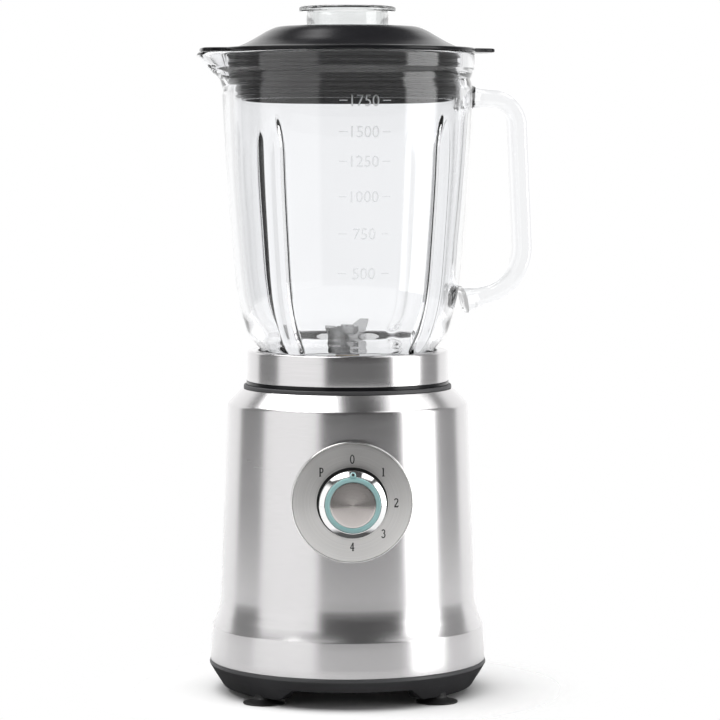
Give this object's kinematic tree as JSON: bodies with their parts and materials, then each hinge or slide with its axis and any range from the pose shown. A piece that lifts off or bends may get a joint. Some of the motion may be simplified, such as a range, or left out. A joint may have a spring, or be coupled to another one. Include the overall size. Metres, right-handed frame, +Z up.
{
  "type": "countertop blender",
  "caption": "Countertop blender: round brushed steel motor base with a front speed knob, glass jug with handle and spout, threaded blade collar, domed lid and clear measuring cap.",
  "frame": {"origin": "on the drive axis, in the plane that the feet stand on", "axes": "+Z up along the drive axis, the speed knob faces -Y, the jug's handle points towards +X and its spout towards -X, turned 6 degrees about +Z"},
  "size_m": [0.1962, 0.1712, 0.4005],
  "materials": {
    "brushed_steel": "brushed",
    "dark_plastic": "matte",
    "black_plastic": "gloss",
    "black_rubber": "matte",
    "satin_metal": "satin",
    "chrome": "polished",
    "teal_plastic": "satin",
    "glass": "clear",
    "clear_plastic": "clear",
    "blade_steel": "polished",
    "bronze": "satin",
    "plain_steel": "satin",
    "copper": "satin",
    "carbon": "matte",
    "board": "satin"
  },
  "bodies": {
    "base": {"base_housing": "brushed_steel", "bottom_cover": "dark_plastic", "foot_front_left": "black_rubber", "foot_front_right": "black_rubber", "foot_rear_right": "black_rubber", "foot_rear_left": "black_rubber", "jar_seat": "dark_plastic", "shaft_seal": "black_rubber", "tie_rods": "plain_steel", "cover_screws": "plain_steel", "cord_gland": "black_rubber", "safety_switch": "black_plastic", "dial_bezel": "chrome", "dial_plate": "satin_metal", "rotary_switch": "dark_plastic", "control_board": "board", "suppression_capacitor": "black_plastic", "motor_stator": "plain_steel", "field_coil_right": "copper", "field_coil_left": "copper", "upper_bracket": "satin_metal", "lower_bracket": "satin_metal", "motor_bolts": "plain_steel", "motor_mounts": "black_rubber", "mount_screws": "plain_steel", "upper_bearing": "plain_steel", "lower_bearing": "plain_steel", "brush_holder_front": "bronze", "carbon_brush_front": "carbon", "brush_spring_front": "plain_steel", "brush_holder_rear": "bronze", "carbon_brush_rear": "carbon", "brush_spring_rear": "plain_steel"},
    "rotor": {"motor_shaft": "plain_steel", "armature_core": "plain_steel", "armature_winding": "copper", "commutator": "copper", "cooling_fan": "dark_plastic", "motor_coupling": "black_plastic"},
    "knob": {"knob_ring": "chrome", "knob_light_ring": "teal_plastic", "knob_cap": "satin_metal", "switch_spindle": "plain_steel"},
    "plunger": {"safety_plunger": "dark_plastic"},
    "jar": {"jar_collar": "brushed_steel", "collar_nut": "black_plastic", "blade_seat": "blade_steel", "blade_bush": "bronze"},
    "blades": {"jar_coupling": "black_plastic", "blade_shaft": "blade_steel", "blade_washer": "blade_steel", "retaining_ring": "blade_steel", "blade_upper": "blade_steel", "blade_lower": "blade_steel", "blade_nut": "blade_steel"},
    "gasket": {"jar_gasket": "black_rubber"},
    "jug": {"jug_glass": "glass"},
    "lid": {"lid": "black_plastic", "lid_gasket": "black_rubber"},
    "cap": {"measuring_cap": "clear_plastic"}
  },
  "joints": [
    {"name": "knob_turn", "type": "hinge", "parent": "base", "child": "knob", "pos_m": [0, -0.075, 0.1185], "axis": [0, 1, 0], "range_deg": [-45, 180]},
    {"name": "motor_spin", "type": "hinge", "parent": "base", "child": "rotor", "pos_m": [0, 0, 0.1], "axis": [0, 0, 1], "continuous": true},
    {"name": "jar_lift", "type": "slide", "parent": "base", "child": "jar", "axis": [0, 0, 1], "range_m": [0, 0.16]},
    {"name": "plunger_rise", "type": "slide", "parent": "base", "child": "plunger", "axis": [0, 0, 1], "range_m": [0, 0.0035]},
    {"name": "blade_spin", "type": "hinge", "parent": "jar", "child": "blades", "pos_m": [0, 0, 0.19], "axis": [0, 0, 1], "continuous": true},
    {"name": "jug_unscrew", "type": "hinge", "parent": "jar", "child": "gasket", "pos_m": [0, 0, 0.1905], "axis": [0, 0, 1], "range_deg": [0, 180]},
    {"name": "jug_rise", "type": "slide", "parent": "gasket", "child": "jug", "axis": [0, 0, 1], "range_m": [0, 0.009]},
    {"name": "lid_lift", "type": "slide", "parent": "jug", "child": "lid", "axis": [0, 0, 1], "range_m": [0, 0.08]},
    {"name": "cap_lift", "type": "slide", "parent": "lid", "child": "cap", "axis": [0, 0, 1], "range_m": [0, 0.06]}
  ],
  "couplings": [
    {"joint": "blade_spin", "follows": "motor_spin", "ratio": 1},
    {"joint": "plunger_rise", "follows": "jar_lift", "ratio": 0.021875},
    {"joint": "jug_rise", "follows": "jug_unscrew", "m_per_rad": 0.0028648}
  ]
}
